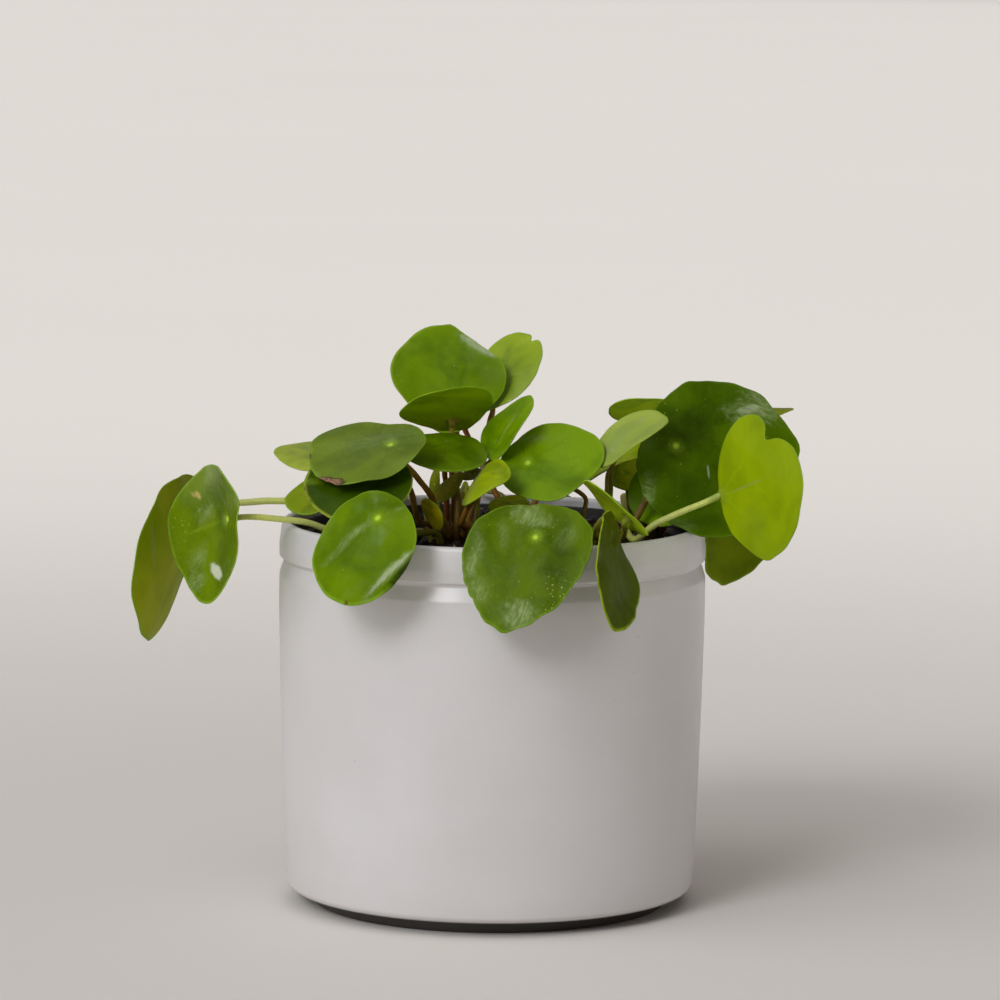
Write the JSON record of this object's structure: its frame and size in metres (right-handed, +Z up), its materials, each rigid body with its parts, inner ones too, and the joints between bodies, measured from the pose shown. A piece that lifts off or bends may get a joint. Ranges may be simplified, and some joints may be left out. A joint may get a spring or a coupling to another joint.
{
  "type": "potted plant",
  "caption": "Potted pilea: round glossy peltate leaves on long stalks, in a plastic grow pot inside a smooth white ceramic pot with a straight rim band and a recessed foot.",
  "frame": {"origin": "centre of the flat foot under the ceramic pot, on the pot's axis", "axes": "+Z up along the pot's axis; +X to the plant's right, along its longest spread; -Y is the front"},
  "size_m": [0.2635, 0.2376, 0.2265],
  "materials": {
    "white_glaze": "satin",
    "grow_plastic": "matte",
    "soil": "matte",
    "bark": "matte",
    "leaf_deep": "satin",
    "leaf_mid": "satin",
    "leaf_bright": "satin",
    "leaf_lime": "satin",
    "leaf_olive": "satin"
  },
  "bodies": {
    "root": {"ceramic_pot": "white_glaze", "nursery_pot": "grow_plastic", "potting_soil": "soil", "stem_main": "bark", "stem_right": "bark", "stem_back": "bark", "stem_left": "bark", "stem_far_right": "bark", "leaf_left_small_light": "leaf_bright", "leaf_left_low_light": "leaf_bright", "leaf_far_left_back": "leaf_olive", "leaf_left_shaded": "leaf_deep", "leaf_far_left_front": "leaf_mid", "leaf_left_large": "leaf_mid", "leaf_top_large": "leaf_bright", "leaf_front_left": "leaf_bright", "leaf_top_back_right": "leaf_olive", "leaf_mid_shadowed": "leaf_mid", "leaf_mid_under": "leaf_olive", "leaf_centre_right": "leaf_bright", "leaf_front_large": "leaf_mid", "leaf_mid_folded": "leaf_bright", "leaf_centre_lime": "leaf_lime", "leaf_right_narrow": "leaf_lime", "leaf_right_back_top": "leaf_mid", "leaf_right_light": "leaf_olive", "leaf_front_narrow": "leaf_deep", "leaf_right_dark": "leaf_deep", "leaf_right_tip": "leaf_mid", "leaf_right_olive": "leaf_olive", "leaf_right_under": "leaf_deep", "leaf_centre_olive_small": "leaf_olive", "leaf_right_spot_lime": "leaf_lime", "leaf_right_edge_on": "leaf_lime", "leaf_centre_small_right": "leaf_deep", "leaf_centre_dark_small": "leaf_deep", "leaf_right_lime": "leaf_lime", "leaf_centre_back_small": "leaf_olive", "leaf_centre_pale_small": "leaf_lime", "leaf_centre_grey_small": "leaf_olive", "leaf_back_right_high": "leaf_mid", "leaf_back_right_mid": "leaf_deep", "leaf_back_right_low": "leaf_bright", "leaf_back_right_inner": "leaf_mid", "leaf_back_centre_low": "leaf_deep", "leaf_back_left_low": "leaf_mid", "leaf_back_left_mid": "leaf_bright", "leaf_back_centre_mid": "leaf_bright", "leaf_back_top": "leaf_bright", "leaf_back_young_right": "leaf_bright", "leaf_back_left_high": "leaf_mid", "leaf_back_left_out": "leaf_bright"}
  },
  "joints": []
}
